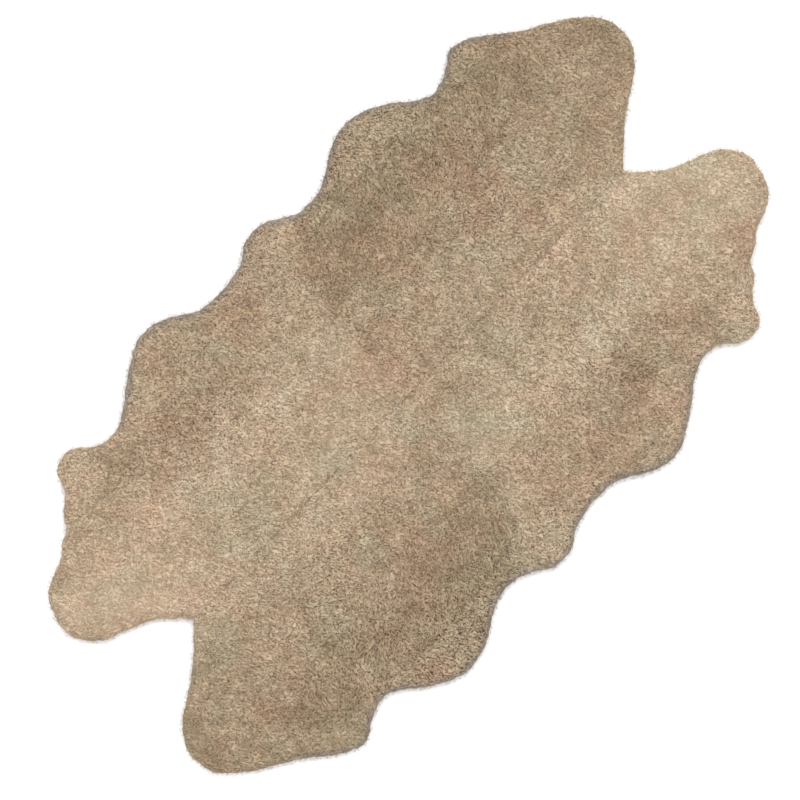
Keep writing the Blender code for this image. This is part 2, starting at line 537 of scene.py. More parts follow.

# Depths of the wool on the far pelts, in the same columns up to the half length, then how much
# darker the painted shade in its depths is and how much higher its locks stand out. The near half
# has more of them.
DEPTHS = (
    ("outer edge", -470, 330, 60, 200, 0.30),
    ("full flank", -320, 420, 90, 130, 0.18),
    ("full middle", -150, 400, 60, 120, 0.18),
    ("dark tip", -200, 860, 160, 70, -0.15),
    ("light tip", 180, 820, 260, 150, -0.36),
    ("light neck", 130, 590, 130, 110, -0.25),
    ("thin middle", 130, 20, 110, 70, -0.22),
    ("full light side", 280, 350, 80, 120, 0.18),
    ("light corner", 460, 60, 80, 130, 0.15),
    ("inner light tip", 100, 760, 110, 110, -0.28),
    ("light middle", 180, 110, 120, 90, -0.12),
)
NEAR_DEPTHS = (
    ("along the seam", 60, 200, 80, 200, -0.25),
    ("dark side of it", -50, 190, 50, 130, -0.22),
    ("full flank", -430, 280, 110, 200, 0.18),
)

# Directions of the wool on the far pelts, in the same columns up to the half length, then how
# far the locks turn there from the main way, in degrees. The fleece's curls turn only in the
# first, the dark flank.
TURNS = (
    ("dark flank", -320, 320, 110, 420, -36),
    ("outer edge", -475, 300, 50, 300, 66),
    ("light outer side", 400, 400, 120, 500, 10),
    ("light inner side", 150, 250, 70, 200, -14),
    ("notch side", -50, 760, 70, 90, 30),
)


def share_of(points, is_far, row):
    """How much a table's row counts at each place of the far or near half of the rug."""
    far = points[:, :2] if is_far else -points[:, :2]
    across = (far[:, 0] / MM - row[1]) / row[3]
    along = (far[:, 1] / MM - row[2]) / row[4]
    return np.exp(-(across**2) - along**2)


def total_of(points, is_far, rows, column=5):
    """A table's column at each place, as much as each of its rows counts there."""
    return sum(row[column] * share_of(points, is_far, row) for row in rows)


def shaded(points, is_far):
    """How much brighter and how much warmer the wool is at each place of the far or near half, in
    its own tone and in painted light and shade.
    """
    rows = SHADES + (FAR_SHADES if is_far else NEAR_SHADES)
    return total_of(points, is_far, rows), total_of(points, is_far, rows, column=6)


def depth_of(points, is_far):
    """How much darker than most the painted shade in the wool's depths is, and how much higher its
    locks stand, as a share.
    """
    return total_of(points, is_far, DEPTHS if is_far else DEPTHS + NEAR_DEPTHS)


def flow_of(points, is_far):
    """The direction in which the locks lie at each place, as an angle."""
    drift = 0.6 * soft_noise(points, 30 * MM, 9.5) + 0.35 * soft_noise(points, 90 * MM, 2.5)
    return WAYS[0] + np.radians(total_of(points, is_far, TURNS)) + drift


def turned_of(points, is_far):
    """One where the curls lie the way of the dark flanks, and nought elsewhere."""
    return smoothstep(share_of(points, is_far, TURNS[0]), 0.42, 0.58)


def along_side(points, outline):
    """One along the rug's two long sides, and nought at its ends and in its notches."""
    far = points[:, :2] if outline.is_far else -points[:, :2]
    out = smoothstep(np.abs(far[:, 0]), 330 * MM, 430 * MM)
    if not outline.is_light:
        return out
    return out * (1 - smoothstep(far[:, 1], 460 * MM, 560 * MM))


def wool_colours(outline, points, settings):
    """The colour of the wool at each place of a pelt, with its painted light and shade, which runs
    into the next pelt's at a seam.
    """
    tones = np.array(settings.dark_wool), np.array(settings.light_wool)
    if outline.is_light:
        tones = tones[::-1]
    distance, nearest = nearest_on(points, outline.sewn)
    over_cross_seam = np.abs(nearest[:, 0]) > SEWN_WITHIN
    blend = np.where(over_cross_seam, SEAM_BLEND, SEAM_BLEND / 2)
    own = 0.5 + 0.5 * smoothstep(distance, 0, blend)
    half = np.where(over_cross_seam, own, 1.0)
    bright, warm = (
        here * half + there * (1 - half)
        for here, there in zip(shaded(points, outline.is_far), shaded(points, not outline.is_far))
    )
    for wavelength, brighter, warmer in DRIFTS:
        bright += brighter * soft_noise(points, wavelength, wavelength * 50)
        warm += warmer * soft_noise(points, wavelength, wavelength * 50 + 9.5)
    colours = np.outer(own, tones[0]) + np.outer(1 - own, tones[1])
    colours *= np.power((1 + bright)[:, None], BRIGHTER)
    colours *= 1 + np.outer(warm, WARMER)
    # Painted shade along the free edges: the wool turns to the rim's greyer, darker colour, most
    # along the long sides.
    rim = 1 - smoothstep(distance_from(points, outline.free), 0, SHADED_RIM)
    rim *= 0.1 + 0.7 * along_side(points, outline)
    return colours * (1 - rim[:, None]) + np.array(settings.rim_shade) * rim[:, None]


def with_alpha(colours):
    return np.hstack([colours, np.ones((len(colours), 1))])


# ---------------------------------------------------------------- nodes

# The colour sockets of a Mix node: its two inputs and its output.
MIX_A = 6
MIX_B = 7
MIX_RESULT = 2


def add(tree, kind, **settings):
    """Adds a node, with its own settings, and values for its inputs by name."""
    node = tree.nodes.new(kind)
    inputs = settings.pop("inputs", {})
    for key, value in settings.items():
        setattr(node, key, value)
    for key, value in inputs.items():
        node.inputs[key].default_value = value
    return node


def join(tree, output, entry):
    tree.links.new(output, entry)


def new_material(name, **sockets):
    """A material, its tree, and its Principled shader with constants on its own sockets."""
    material = bpy.data.materials.new(name)
    material.use_nodes = True
    tree = material.node_tree
    tree.nodes.clear()
    constants = {key.replace("_", " "): value for key, value in sockets.items()}
    shader = add(tree, "ShaderNodeBsdfPrincipled", inputs=constants)
    out = add(tree, "ShaderNodeOutputMaterial")
    join(tree, shader.outputs["BSDF"], out.inputs["Surface"])
    return material, tree, shader


def attribute(tree, name):
    return add(tree, "ShaderNodeAttribute", attribute_name=name).outputs


def rgb(tree, colour):
    node = add(tree, "ShaderNodeRGB")
    node.outputs[0].default_value = (*colour, 1)
    return node.outputs[0]


def ramp(tree, factor, stops, tint=(1.0, 1.0)):
    """A ramp from grey to grey, or with a tint, to greys that are browner the darker they are."""
    node = add(tree, "ShaderNodeValToRGB")
    elements = node.color_ramp.elements
    while len(elements) < len(stops):
        elements.new(0.5)
    for element, (position, value) in zip(elements, stops):
        element.position = position
        element.color = (value ** tint[0], value, value ** tint[1], 1)
    join(tree, factor, node.inputs["Fac"])
    return node.outputs["Color"]


def multiply(tree, first, *others):
    for other in others:
        node = add(tree, "ShaderNodeMix", data_type="RGBA", blend_type="MULTIPLY")
        node.inputs["Factor"].default_value = 1
        join(tree, first, node.inputs[MIX_A])
        join(tree, other, node.inputs[MIX_B])
        first = node.outputs[MIX_RESULT]
    return first


def as_deep_as(tree, deep, shade):
    """The shade at full depth of wool, and none of it where the wool has no depth."""
    node = add(tree, "ShaderNodeMix", data_type="RGBA", clamp_factor=False)
    join(tree, deep, node.inputs["Factor"])
    node.inputs[MIX_A].default_value = (1, 1, 1, 1)
    join(tree, shade, node.inputs[MIX_B])
    return node.outputs[MIX_RESULT]


def calculate(tree, operation, a, b=None):
    """A sum of one output and either another output, a number or nothing."""
    node = add(tree, "ShaderNodeMath", operation=operation)
    join(tree, a, node.inputs[0])
    if isinstance(b, float):
        node.inputs[1].default_value = b
    elif b is not None:
        join(tree, b, node.inputs[1])
    return node.outputs[0]


def noise_texture(tree, place, **inputs):
    texture = add(tree, "ShaderNodeTexNoise", inputs=inputs)
    join(tree, place, texture.inputs["Vector"])
    return texture.outputs["Fac"]


def bump(tree, height, strength, distance, under=None):
    """The normal of a relief of that height, over the relief under it."""
    node = add(tree, "ShaderNodeBump", inputs={"Strength": strength, "Distance": distance})
    join(tree, height, node.inputs["Height"])
    if under is not None:
        join(tree, under, node.inputs["Normal"])
    return node.outputs["Normal"]


def winding(tree, place, turned):
    """The winding noise of the curls, drawn out along the way that the wool lies."""
    fields = []
    for way in WAYS:
        turn = add(tree, "ShaderNodeVectorRotate", rotation_type="Z_AXIS", inputs={"Angle": -way})
        join(tree, place, turn.inputs["Vector"])
        draw_out = add(tree, "ShaderNodeVectorMath", operation="MULTIPLY")
        draw_out.inputs[1].default_value = DRAWN_OUT
        join(tree, turn.outputs["Vector"], draw_out.inputs[0])
        fields.append(noise_texture(tree, draw_out.outputs["Vector"], **WINDING))
    mix = add(tree, "ShaderNodeMix", data_type="FLOAT")
    join(tree, turned, mix.inputs["Factor"])
    join(tree, fields[0], mix.inputs["A"])
    join(tree, fields[1], mix.inputs["B"])
    return mix.outputs["Result"]


def geometry_tree(name, *inputs):
    """A tree of geometry nodes, the outputs of its start, and its end's input."""
    tree = bpy.data.node_groups.new(name, "GeometryNodeTree")
    for entry, kind in (("Geometry", "NodeSocketGeometry"), *inputs):
        tree.interface.new_socket(name=entry, in_out="INPUT", socket_type=kind)
    tree.interface.new_socket(
        name="Geometry", in_out="OUTPUT", socket_type="NodeSocketGeometry"
    )
    start, end = add(tree, "NodeGroupInput"), add(tree, "NodeGroupOutput")
    return tree, start.outputs, end.inputs["Geometry"]


def stored(tree, name, kind):
    """The output that reads what is stored under that name."""
    reader = add(
        tree, "GeometryNodeInputNamedAttribute", data_type=kind, inputs={"Name": name}
    )
    return reader.outputs["Attribute"]


def keep(tree, geometry, name, kind, value):
    """The geometry with the value stored on its points under that name."""
    node = add(
        tree,
        "GeometryNodeStoreNamedAttribute",
        data_type=kind,
        domain="POINT",
        inputs={"Name": name},
    )
    join(tree, geometry, node.inputs["Geometry"])
    join(tree, value, node.inputs["Value"])
    return node.outputs["Geometry"]


# ---------------------------------------------------------------- materials


def crimped_map(tree, own):
    """The strand's own map, in which the fibres wind round it in waves, as crimped wool does."""
    parts = add(tree, "ShaderNodeSeparateXYZ")
    strand_map = add(tree, "ShaderNodeUVMap", uv_map="StrandUV")
    join(tree, strand_map.outputs["UV"], parts.inputs["Vector"])
    around, along = parts.outputs["X"], parts.outputs["Y"]
    phase = calculate(tree, "ADD", calculate(tree, "MULTIPLY", along, 17.0), own)
    wave = calculate(tree, "MULTIPLY", calculate(tree, "SINE", phase), 0.03)
    wound = calculate(tree, "ADD", calculate(tree, "MULTIPLY", along, 0.3), around)
    whole = add(tree, "ShaderNodeCombineXYZ")
    join(tree, calculate(tree, "ADD", wave, wound), whole.inputs["X"])
    join(tree, along, whole.inputs["Y"])
    return whole.outputs["Vector"]


def strand_wool(name):
    """Wool of the strands: each one's own colour, with painted shade at its root and on its sides
    that face down, in fine twisted fibres.
    """
    material, tree, shader = new_material(
        name, Roughness=0.75, Specular_IOR_Level=0.4, Sheen_Weight=0.12, Sheen_Roughness=0.5
    )
    own = attribute(tree, "own")["Fac"]
    facing = add(tree, "ShaderNodeSeparateXYZ")
    join(tree, add(tree, "ShaderNodeTexCoord").outputs["Normal"], facing.inputs["Vector"])
    crimped = crimped_map(tree, own)
    textures = []
    for scale, detail in (((26.0, 4.0, 1.0), 3.0), ((5.0, 9.0, 1.0), 1.0)):
        stretch = add(tree, "ShaderNodeMapping", inputs={"Scale": scale})
        join(tree, crimped, stretch.inputs["Vector"])
        texture = add(
            tree,
            "ShaderNodeTexNoise",
            noise_dimensions="4D",
            inputs={"Scale": 1.0, "Detail": detail},
        )
        join(tree, stretch.outputs["Vector"], texture.inputs["Vector"])
        join(tree, own, texture.inputs["W"])
        textures.append(texture.outputs["Fac"])
    fibres, crimp = textures
    # Darker and browner towards the root, where the strand dives into the wool: mostly painted
    # shade, with some of the roots' own browner tone.
    along = attribute(tree, "along")["Fac"]
    root = ramp(tree, along, ((0.0, 0.25), (0.25, 0.72), (0.5, 1.0), (1.0, 1.0)), BROWNER)
    # Painted shade on the sides that face down or sideways, out of the sky's light.
    upward = facing.outputs["Z"]
    side = ramp(tree, upward, ((0.0, 0.30), (0.3, 0.80), (0.55, 1.0), (1.0, 1.0)), BROWNER)
    deep = attribute(tree, "deep")["Fac"]
    shade = multiply(
        tree,
        attribute(tree, "wool_colour")["Color"],
        as_deep_as(tree, deep, multiply(tree, root, side)),
        ramp(tree, fibres, ((0.3, 0.86), (0.5, 1.0), (0.72, 1.08))),
        ramp(tree, crimp, ((0.35, 0.90), (0.65, 1.06))),
    )
    join(tree, shade, shader.inputs["Base Color"])
    ripple = bump(tree, crimp, 0.8, 1.6 * MM)
    join(tree, bump(tree, fibres, 0.6, 0.5 * MM, under=ripple), shader.inputs["Normal"])
    return material


def fleece_wool(name):
    """Wool of the fleece: painted brown shade in the furrows between its curls, and matted fibres
    all over it.
    """
    material, tree, shader = new_material(
        name, Roughness=0.9, Specular_IOR_Level=0.2, Sheen_Weight=0.08
    )
    place = attribute(tree, "first_place")["Vector"]
    curl = winding(tree, place, attribute(tree, "turned")["Fac"])
    patches = noise_texture(tree, place, Scale=190.0, Detail=1.0)
    fibres = noise_texture(tree, place, Scale=420.0, Detail=3.0, Distortion=4.0)
    # Painted shadow in the furrows, where the winding noise is near its middle, with ragged edges;
    # patches make it weaker in places.
    crest = calculate(tree, "ABSOLUTE", calculate(tree, "SUBTRACT", curl, 0.5))
    raggedness = calculate(tree, "MULTIPLY", calculate(tree, "SUBTRACT", fibres, 0.5), 0.20)
    ragged = calculate(tree, "ADD", crest, raggedness)
    furrow_shade = ramp(tree, ragged, ((0.0, 0.02), (0.027, 0.06), (0.051, 0.84), (0.085, 1.0)), BROWNER)
    broken = ramp(tree, patches, ((0.34, 0.45), (0.5, 1.0)))
    deep = attribute(tree, "deep")["Fac"]
    shade = multiply(
        tree,
        attribute(tree, "wool_colour")["Color"],
        as_deep_as(tree, deep, as_deep_as(tree, broken, furrow_shade)),
        ramp(tree, fibres, ((0.3, 0.70), (0.5, 1.0), (0.7, 1.24)), BROWNER),
    )
    join(tree, shade, shader.inputs["Base Color"])
    swell = bump(tree, calculate(tree, "MINIMUM", crest, FURROW_REACH), 1.0, 9.0 * MM)
    join(tree, bump(tree, fibres, 1.0, 1.6 * MM, under=swell), shader.inputs["Normal"])
    return material


def suede_leather(name, colour):
    """The skin side: napped suede with a cloudy tone."""
    material, tree, shader = new_material(
        name, Roughness=0.9, Specular_IOR_Level=0.2, Sheen_Weight=0.25
    )
    place = add(tree, "ShaderNodeTexCoord").outputs["Object"]
    cloud = noise_texture(tree, place, Scale=9.0, Detail=5.0)
    nap = noise_texture(tree, place, Scale=900.0, Detail=3.0)
    shade = multiply(
        tree,
        rgb(tree, colour),
        ramp(tree, cloud, ((0.3, 0.84), (0.7, 1.08))),
        ramp(tree, nap, ((0.3, 0.90), (0.7, 1.06))),
    )
    join(tree, shade, shader.inputs["Base Color"])
    join(tree, bump(tree, nap, 0.4, 0.3 * MM), shader.inputs["Normal"])
    return material


def waxed_thread(name, colour):
    """Sewing thread, with the plies of its twist as fine slanting bands."""
    material, tree, shader = new_material(name, Roughness=0.7, Specular_IOR_Level=0.3)
    plies = add(
        tree,
        "ShaderNodeTexWave",
        bands_direction="DIAGONAL",
        inputs={"Scale": 450.0, "Distortion": 0.8},
    )
    join(tree, add(tree, "ShaderNodeTexCoord").outputs["Object"], plies.inputs["Vector"])
    bands = plies.outputs["Fac"]
    shade = multiply(tree, rgb(tree, colour), ramp(tree, bands, ((0.0, 0.72), (1.0, 1.05))))
    join(tree, shade, shader.inputs["Base Color"])
    join(tree, bump(tree, bands, 0.6, 0.2 * MM), shader.inputs["Normal"])
    return material


def floor_finish(name):
    """A plain pale studio floor."""
    grey = (0.93, 0.93, 0.93, 1)
    return new_material(name, Base_Color=grey, Roughness=0.8, Specular_IOR_Level=0.0)[0]


# ---------------------------------------------------------------- the fleece


def curl_tree():
    """Geometry nodes that keep each point's first place, and its place among the curls."""
    tree, start, end = geometry_tree("curl_relief")
    place = add(tree, "GeometryNodeInputPosition").outputs["Position"]
    curl = winding(tree, place, stored(tree, "turned", "FLOAT"))
    geometry = keep(tree, start["Geometry"], "first_place", "FLOAT_VECTOR", place)
    join(tree, keep(tree, geometry, "curl", "FLOAT", curl), end)
    return tree


def raise_curls(piece, outline, tree, settings):
    """Divides the fleece finely, and sinks it in winding furrows between its curls."""
    edit_faces(piece, lambda face: face.center.z > FLEECE_BOTTOM + 0.1 * MM or face.normal.z > -0.9)
    bpy.ops.mesh.subdivide(number_cuts=1)
    object_mode()
    mesh = piece.data
    store(mesh, "turned", "FLOAT", turned_of(places_of(mesh), outline.is_far))
    apply_modifier(piece, "NODES", node_group=tree)
    mesh = piece.data
    places = places_of(mesh)
    curl = read(mesh.attributes["curl"].data, "value")
    mesh.attributes.remove(mesh.attributes["curl"])
    normals = read(mesh.vertex_normals, "vector", 3)
    near_seam = 1 - smoothstep(distance_from(places, outline.sewn), *SEAM_FADE)
    outward = normals * (1 - near_seam[:, None]) + np.outer(near_seam, (0, 0, 1))
    above_floor = smoothstep(places[:, 2], *FLOOR_FADE)
    furrow = 1 - smoothstep(np.abs(curl - 0.5), 0, FURROW_REACH)
    places -= outward * (furrow * above_floor * settings.curl_depth)[:, None]
    at_rim = 1 - smoothstep(distance_from(places, outline.free), *RIM_FADE)
    tufted = sum(size * soft_noise(places, wave, wave * 90) for wave, size in RIM_TUFTS)
    places[:, :2] += outward[:, :2] * (tufted * at_rim * above_floor)[:, None]
    move_to(mesh, places)


def model_whole_fleece(settings):
    """One closed fleece for the whole rug, inside the pelts' solids, with a soft relief."""
    parts = [merged_copy(name, "whole_fleece") for name in PELTS]
    deselect_all()
    for part in parts:
        part.select_set(True)
    whole = parts[0]
    bpy.context.view_layer.objects.active = whole
    bpy.ops.object.join()
    # The bottom is let down, so that smoothing leaves the walls upright where they are cut off.
    places = places_of(whole.data)
    places[places[:, 2] < MM, 2] -= 10 * MM
    move_to(whole.data, places)
    apply_modifier(whole, "REMESH", mode="VOXEL", voxel_size=settings.fleece_grain)
    apply_modifier(whole, "SMOOTH", factor=0.5, iterations=5)
    apply_modifier(whole, "DISPLACE", strength=-settings.fleece_margin, mid_level=0.0)
    relief = bpy.data.textures.new("fleece_relief", "CLOUDS")
    relief.noise_scale = RELIEF_WAVELENGTH
    relief.noise_depth = 1
    apply_modifier(
        whole,
        "DISPLACE",
        texture=relief,
        texture_coords="GLOBAL",
        direction="Z",
        strength=RELIEF_HEIGHT,
        mid_level=0.5,
    )
    edit(whole)
    bpy.ops.mesh.select_all(action="SELECT")
    bpy.ops.mesh.bisect(
        plane_co=(0, 0, FLEECE_BOTTOM), plane_no=(0, 0, 1), clear_inner=True, use_fill=True
    )
    object_mode()
    return whole


def cut_fleece(whole, outline, tree, material, settings):
    """The part of the fleece that belongs to one pelt."""
    piece = new_object(outline.called("fleece"), whole.data.copy())
    block = model_block("fleece_cutter", outline.ring, BLOCK_BOTTOM, BLOCK_HEIGHT)
    apply_modifier(piece, "BOOLEAN", operation="INTERSECT", solver="EXACT", object=block)
    remove(block)
    raise_curls(piece, outline, tree, settings)
    only(piece)
    bpy.ops.object.shade_smooth_by_angle(angle=math.radians(60))
    finish_with(piece, material)
    places = places_of(piece.data)
    # The painted shade in the fleece's furrows: as strong as the depths say, and weaker near a free
    # edge.
    on_rim = 1 - smoothstep(distance_from(places, outline.free), 0, SHALLOW_RIM)
    depth = settings.depth * (1 + depth_of(places, outline.is_far)) * (1 - SHALLOW_SHARE * on_rim)
    colours = with_alpha(wool_colours(outline, places, settings))
    store(piece.data, "wool_colour", "FLOAT_COLOR", colours)
    store(piece.data, "deep", "FLOAT", depth)
    return piece


# ---------------------------------------------------------------- strands: locks and wisps


def face_ring(centre, before, after):
    """Turns the selected ring from one facing, its heading and climb, to another."""
    bpy.ops.transform.rotate(value=before[0], orient_axis="Z", center_override=centre)
    bpy.ops.transform.rotate(value=after[1] - before[1], orient_axis="Y", center_override=centre)
    bpy.ops.transform.rotate(value=-after[0], orient_axis="Z", center_override=centre)


def model_strand(name, radius, root, step, turns, climbs):
    """One strand: a ring extruded step by step along its curl, and closed at its tip."""
    deselect_all()
    girths = np.interp(np.arange(len(turns)) / len(turns), GIRTH_PLACES, GIRTHS)
    centre = Vector((-1.6 * step * MM, 0, root))
    bpy.ops.mesh.primitive_circle_add(
        vertices=STRAND_SIDES,
        radius=radius * girths[0],
        fill_type="NGON",
        location=centre,
        rotation=(0, 0, -math.pi / 2),
    )
    strand = bpy.context.object
    strand.name = name
    bpy.ops.object.transform_apply(location=True, rotation=True)
    bpy.ops.object.mode_set(mode="EDIT")
    bpy.ops.mesh.select_all(action="SELECT")
    headings = np.radians(np.cumsum(turns))
    slopes = np.radians(climbs)
    facing = 0.0, math.pi / 2
    for number, (heading, climb) in enumerate(zip(headings, slopes)):
        flat = math.cos(climb)
        way = Vector((math.cos(heading) * flat, math.sin(heading) * flat, math.sin(climb)))
        move = way * (step * MM)
        bpy.ops.mesh.extrude_region_move(TRANSFORM_OT_translate={"value": move})
        centre = centre + move
        if number + 1 == len(headings):
            bpy.ops.mesh.merge(type="CENTER")
            break
        halfway = (heading + headings[number + 1]) / 2, (climb + slopes[number + 1]) / 2
        face_ring(centre, facing, halfway)
        share = girths[number + 1] / girths[number]
        bpy.ops.transform.resize(value=(share, share, share), center_override=centre)
        facing = halfway
    object_mode()
    bpy.ops.object.shade_smooth()
    return strand


def map_strand(strand):
    """The strand's own map, round it and along it, and how far along each point is."""
    mesh = strand.data
    count = len(mesh.vertices)
    rings = count // STRAND_SIDES
    ring = np.minimum(np.arange(count) // STRAND_SIDES, rings)
    side = np.arange(count) % STRAND_SIDES
    store(mesh, "along", "FLOAT", ring / rings)
    uv = mesh.uv_layers.new(name="StrandUV")
    for polygon in mesh.polygons:
        corners = list(polygon.loop_indices)
        vertices = [mesh.loops[c].vertex_index for c in corners]
        sides = [side[v] for v in vertices if ring[v] < rings]
        wraps = 0 in sides and STRAND_SIDES - 1 in sides
        for corner, vertex in zip(corners, vertices):
            u = side[vertex] + (STRAND_SIDES if wraps and side[vertex] == 0 else 0)
            if ring[vertex] == rings:
                u = min(sides) + 0.5 if not wraps else STRAND_SIDES - 0.5
            uv.data[corner].uv = (u / STRAND_SIDES, ring[vertex] / rings)


def collect(name, objects):
    """A collection that holds these objects, and is their only one."""
    kinds = bpy.data.collections.new(name)
    bpy.context.scene.collection.children.link(kinds)
    for obj in objects:
        for home in list(obj.users_collection):
            home.objects.unlink(obj)
        kinds.objects.link(obj)
    return kinds


def model_strands(name, table, radius, root):
    """A collection with one strand of each kind in the table."""
    strands = []
    for number, (kind, _, step, turns, climbs) in enumerate(table):
        strand = model_strand(f"{number:02}_{kind}", radius, root, step, turns, climbs)
        map_strand(strand)
        strands.append(strand)
    return collect(name, strands)


def remove_kinds(kinds):
    for obj in list(kinds.objects):
        remove(obj)
    bpy.data.collections.remove(kinds)


def scatter_tree():
    """Geometry nodes that scatter the roots over a surface, no two too near each other."""
    tree, start, end = geometry_tree(
        "scatter_roots", ("Distance", "NodeSocketFloat"), ("Seed", "NodeSocketInt")
    )
    scatter = add(
        tree,
        "GeometryNodeDistributePointsOnFaces",
        distribute_method="POISSON",
        inputs={"Density Max": 400000},
    )
    join(tree, start["Geometry"], scatter.inputs["Mesh"])
    join(tree, start["Distance"], scatter.inputs["Distance Min"])
    join(tree, start["Seed"], scatter.inputs["Seed"])
    points, normal = scatter.outputs["Points"], scatter.outputs["Normal"]
    vertices = add(tree, "GeometryNodePointsToVertices")
    join(tree, keep(tree, points, "rise", "FLOAT_VECTOR", normal), vertices.inputs["Points"])
    join(tree, vertices.outputs["Mesh"], end)
    return tree


def laying_tree(kinds):
    """Geometry nodes that set a piece on each point, with the point's own turn, size and kind."""
    tree, start, end = geometry_tree("lay_" + kinds.name)
    choice = add(
        tree,
        "GeometryNodeCollectionInfo",
        transform_space="ORIGINAL",
        inputs={"Collection": kinds, "Separate Children": True, "Reset Children": True},
    )
    place = add(tree, "GeometryNodeInstanceOnPoints", inputs={"Pick Instance": True})
    join(tree, stored(tree, "kind", "INT"), place.inputs["Instance Index"])
    join(tree, stored(tree, "turn", "FLOAT_VECTOR"), place.inputs["Rotation"])
    join(tree, stored(tree, "size", "FLOAT_VECTOR"), place.inputs["Scale"])
    real = add(tree, "GeometryNodeRealizeInstances")
    join(tree, start["Geometry"], place.inputs["Points"])
    join(tree, choice.outputs["Instances"], place.inputs["Instance"])
    join(tree, place.outputs["Instances"], real.inputs["Geometry"])
    join(tree, real.outputs["Geometry"], end)
    return tree


def lay(name, places, values, tree, material):
    """One mesh of the pieces that the tree sets on points at these places."""
    mesh = bpy.data.meshes.new(name)
    mesh.vertices.add(len(places))
    move_to(mesh, places)
    store(mesh, "turn", "FLOAT_VECTOR", values["turn"])
    store(mesh, "size", "FLOAT_VECTOR", values["size"])
    store(mesh, "kind", "INT", values["kind"])
    if "wool_colour" in values:
        store(mesh, "wool_colour", "FLOAT_COLOR", values["wool_colour"])
        store(mesh, "own", "FLOAT", np.arange(len(places)))
        store(mesh, "deep", "FLOAT", values["deep"])
    obj = new_object(name, mesh)
    apply_modifier(obj, "NODES", node_group=tree)
    finish_with(obj, material)
    return obj


def set_inputs(modifier, **values):
    """Sets a geometry nodes modifier's inputs by name."""
    for item in modifier.node_group.interface.items_tree:
        if item.item_type == "SOCKET" and item.in_out == "INPUT" and item.name in values:
            modifier[item.identifier] = values[item.name]


def scatter_roots(fleece, tree, distance, seed):
    """The places of the roots on a fleece, and the way its surface faces there."""
    points = new_object("roots", fleece.data.copy())
    only(points)
    modifier = points.modifiers.new("Roots", "NODES")
    modifier.node_group = tree
    set_inputs(modifier, Distance=distance, Seed=seed)
    bpy.ops.object.modifier_apply(modifier=modifier.name)
    places = places_of(points.data)
    rises = read(points.data.attributes["rise"].data, "vector", 3)
    remove(points)
    return places, rises


def eulers(forward, up):
    """The XYZ angles that turn a strand's length to forward and its rise to up."""
    side = unit(np.cross(up, forward))
    forward = np.cross(side, up)
    rx = np.arctan2(side[:, 2], up[:, 2])
    ry = -np.arcsin(np.clip(forward[:, 2], -1, 1))
    rz = np.arctan2(forward[:, 1], forward[:, 0])
    return np.stack([rx, ry, rz], axis=1)


def draw_kinds(table, count, draw):
    shares = np.array([row[1] for row in table])
    return draw.choice(len(table), count, p=shares / shares.sum())


def draw_shares(count, spread, most, draw):
    """Random shares round one, from half to the most."""
    return np.clip(draw.normal(1.0, spread, count), 0.5, most)


def locks_on(fleece, outline, tree, settings, draw):
    """The roots of a pelt's locks, and the turn, size, kind and colour of each lock.

    They are all over the fleece, save the walls along the seams. Along the free edges they fan
    outward and down.
    """
    seed = settings.seed + PELTS.index(outline.name)
    places, rises = scatter_roots(fleece, tree, settings.lock_distance, seed)
    on_seam_wall = (rises[:, 2] < 0.5) & (distance_from(places, outline.sewn) < 6 * MM)
    kept = (rises[:, 2] > -0.7) & (places[:, 2] > 5 * MM) & ~on_seam_wall
    places, rises = places[kept], rises[kept]
    count = len(places)
    distance, nearest = nearest_on(places, outline.free)
    outward = unit(nearest - places[:, :2])
    rim = 1 - smoothstep(distance, 8 * MM, 24 * MM)
    angle = flow_of(places, outline.is_far) + draw.normal(0, 0.45, count)
    angle += math.pi * draw.integers(0, 2, count)
    lie = np.stack([np.cos(angle), np.sin(angle), np.zeros(count)], axis=1)
    fan = np.hstack([outward, np.full((count, 1), -0.6)]) + 0.5 * draw.normal(0, 1, (count, 3))
    forward = unit(lie * (1 - rim[:, None]) + unit(fan) * rim[:, None])
    up = np.array([0, 0, 1.0]) * (1 - 0.75 * rim[:, None]) + rises * (0.35 + 0.65 * rim[:, None])
    up = unit(up + draw.normal(0, 0.16, (count, 3)))
    # How much darker the painted shade in the depths is here, and how much higher the locks stand.
    depth = 1 + depth_of(places, outline.is_far)
    long = draw_shares(count, 0.22, 1.6, draw) * (1 + 0.2 * rim)
    wide = draw_shares(count, 0.20, 1.5, draw) * (1 - 0.1 * rim)
    high = draw_shares(count, 0.20, 1.5, draw) * np.sqrt(depth) * LOCK_FLATNESS
    own = np.clip(draw.normal(1.0, 0.035, count), 0.9, 1.1)
    colours = wool_colours(outline, places, settings) * own[:, None] ** BRIGHTER
    return places, {
        "turn": eulers(forward, up),
        "size": np.stack([long, wide, high], axis=1),
        "kind": draw_kinds(LOCKS, count, draw),
        "deep": settings.depth * depth,
        "wool_colour": with_alpha(colours),
    }


def wisps_on(fleece, outline, tree, settings, draw):
    """The roots of a pelt's wisps, and the turn, size, kind and colour of each wisp.

    They are dense along the free edges, and there are a few all over the fleece.
    """
    seed = settings.seed + len(PELTS) + PELTS.index(outline.name)
    places, rises = scatter_roots(fleece, tree, settings.wisp_distance, seed)
    sewn = distance_from(places, outline.sewn)
    at_rim = (distance_from(places, outline.free) < 14 * MM) & (sewn > 8 * MM)
    kept = (rises[:, 2] > -0.3) & (places[:, 2] > 7 * MM) & (sewn > 4 * MM)
    kept &= draw.random(len(places)) < np.where(at_rim, settings.rim_wisps, settings.top_wisps)
    places, rises = places[kept], rises[kept]
    count = len(places)
    up = unit(rises + draw.normal(0, 0.35, (count, 3)))
    size = draw_shares(count, 0.25, 1.5, draw)
    size *= np.where(places[:, 2] > SHORTER_ABOVE, SHORTER, 1.0)
    return places, {
        "turn": eulers(unit(draw.normal(0, 1, (count, 3))), up),
        "size": np.stack([size, size, size], axis=1),
        "kind": draw_kinds(WISPS, count, draw),
        # Wisps take half of the painted shade in the depths.
        "deep": np.full(count, 0.5 * settings.depth),
        "wool_colour": with_alpha(wool_colours(outline, places, settings) * 1.05),
    }


